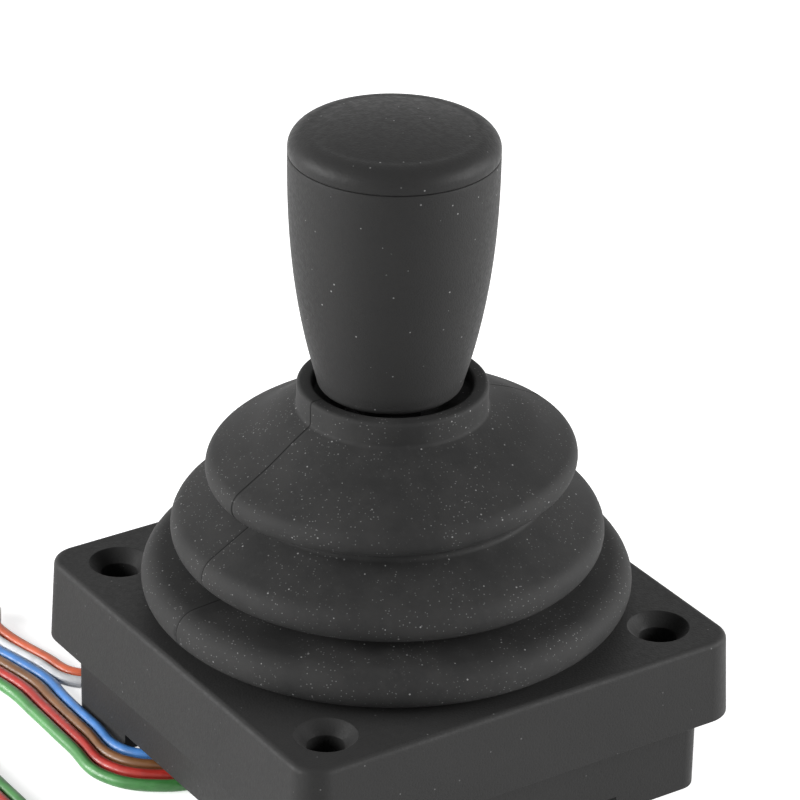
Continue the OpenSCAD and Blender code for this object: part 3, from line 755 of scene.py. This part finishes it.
split_angle = (flank_angle(SPLIT - 1) + flank_angle(SPLIT)) / 2
lower_wall = [(25.4, 0.03), (26.5, 0.35), (27.0, 0.62)] + boot_wall(0, SPLIT, -78, split_angle)
upper_wall = boot_wall(SPLIT, len(BOOT_CIRCLES) - 1, split_angle, 90)
cup = [
    (9.75, NECK_TOP), (9.5, NECK_TOP - 0.08), (9.42, NECK_TOP - 0.3), (9.38, 26.95),
    (9.2, 26.8), (5.0, 26.8), (4.85, 26.75),
]
split_height = lower_wall[-1][1]

boot_lower = new_piece(
    "boot_lower_folds", turned(in_metres(lower_wall), boot_columns, boot_bend), rubber_finish
)
boot_upper = new_piece(
    "boot_top_fold", turned(in_metres(upper_wall + cup), boot_columns, boot_bend), rubber_finish
)
FLANGE_TOP + split_height * MM
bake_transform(boot_lower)
FLANGE_TOP + split_height * MM
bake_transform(boot_upper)
for boot_piece in (boot_lower, boot_upper):
    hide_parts("boot")


# ---------------------------------------------------------------- knob

knob_low, knob_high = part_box("knob_body")
KNOB_FOOT = knob_low.z / MM
SEAM = knob_high.z / MM
KNOB_RADIUS = knob_high.x / MM
KNOB_TALL = SEAM - KNOB_FOOT


def barrel(height):
    """Radius of the knob at a height above its foot."""
    return KNOB_RADIUS - (KNOB_RADIUS - 8.3) * ((KNOB_TALL - height) / KNOB_TALL) ** 2.35


foot_round = 1.1
knob_side = [(4.7, KNOB_FOOT), (barrel(foot_round) - foot_round - 0.4, KNOB_FOOT)]
knob_side += arc(
    (barrel(foot_round) - foot_round, KNOB_FOOT + foot_round), (foot_round, foot_round), -90, 0, 10
)
knob_side += [
    (barrel(h), KNOB_FOOT + h)
    for h in [foot_round + (KNOB_TALL - 0.16 - foot_round) * k / 44 for k in range(1, 45)]
]
knob_side += [
    (KNOB_RADIUS - 0.03, SEAM - 0.07), (KNOB_RADIUS - 0.1, SEAM - 0.02),
    (KNOB_RADIUS - 0.35, SEAM), (KNOB_RADIUS - 1.2, SEAM),
]


knob = new_piece("knob", turned(in_metres(knob_side), even_columns(180)), knob_finish)
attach(knob, "lever")
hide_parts("knob_body")

CAP_SIDE, CAP_EDGE, CAP_DOME = 0.7, 2.7, 1.0
cap_flat = KNOB_RADIUS - CAP_EDGE
cap_rim = CAP_EDGE * 0.8
cap_side = [
    (KNOB_RADIUS - 1.2, SEAM + 0.02), (KNOB_RADIUS - 0.32, SEAM + 0.03),
    (KNOB_RADIUS - 0.1, SEAM + 0.06), (KNOB_RADIUS - 0.02, SEAM + 0.15),
    (KNOB_RADIUS, SEAM + 0.3),
]
cap_side += arc((cap_flat, SEAM + CAP_SIDE), (CAP_EDGE, cap_rim), 0, 90, 20)
cap_side += [
    (cap_flat * (1 - k / 20), SEAM + CAP_SIDE + cap_rim + CAP_DOME * (1 - (1 - k / 20) ** 2))
    for k in range(1, 21)
]
cap = new_piece("knob_top", turned(in_metres(cap_side), even_columns(180)), cap_finish)
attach(cap, "lever")
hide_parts("knob_cap")


# ---------------------------------------------------------------- floor, lights and world


FLOOR_GLOW = 0.72
ROOM_LIGHT = 0.08


def pale_floor():
    data = bpy.data.meshes.new("floor")
    made = bmesh.new()
    bmesh.ops.create_grid(made, x_segments=1, y_segments=1, size=3)
    made.to_mesh(data)
    made.free()
    floor = bpy.data.objects.new("floor", data)
    bpy.context.scene.collection.objects.link(floor)
    floor.location.z = -0.02 * MM
    finish = Finish("floor_paper", Roughness=1.0, Specular_IOR_Level=0.0)
    seen = finish.rays("Is Camera Ray", "Is Glossy Ray")
    finish.surface.inputs["Emission Strength"].default_value = 1
    glow = finish.mix(seen, grey(0), grey(FLOOR_GLOW))
    dress(floor, finish.set(Base_Color=grey(0.86), Emission_Color=glow))


def soft_box(name, azimuth, height, distance, width, tall, power):
    """A large square lamp, aimed at the middle of the joystick."""
    data = bpy.data.lights.new(name, "AREA")
    data.shape = "RECTANGLE"
    data.size = width
    data.size_y = tall
    data.energy = power
    lamp = bpy.data.objects.new(name, data)
    bpy.context.scene.collection.objects.link(lamp)
    a, h = math.radians(azimuth), math.radians(height)
    aim = Vector((0, 0, 0.035))
    lamp.location = aim + distance * Vector(
        (math.cos(h) * math.cos(a), math.cos(h) * math.sin(a), math.sin(h))
    )
    lamp.rotation_euler = (aim - lamp.location).to_track_quat("-Z", "Y").to_euler()


def white_world():
    world = bpy.data.worlds.new("studio")
    bpy.context.scene.world = world
    world.use_nodes = True
    sky = Nodes(world.node_tree)
    seen = sky.rays("Is Camera Ray", "Is Transmission Ray", "Is Glossy Ray")
    background = sky.tree.nodes["Background"]
    background.inputs["Color"].default_value = (1, 1, 1, 1)
    sky.feed(background.inputs["Strength"], seen * (1 - ROOM_LIGHT) + ROOM_LIGHT)


pale_floor()
white_world()
soft_box("side_left", CAMERA_AZIMUTH - 80, 14, 0.9, 0.8, 0.6, 15.5)
soft_box("side_right", CAMERA_AZIMUTH + 85, 14, 0.9, 0.8, 0.6, 13.5)

bpy.context.scene.view_settings.view_transform = "Standard"
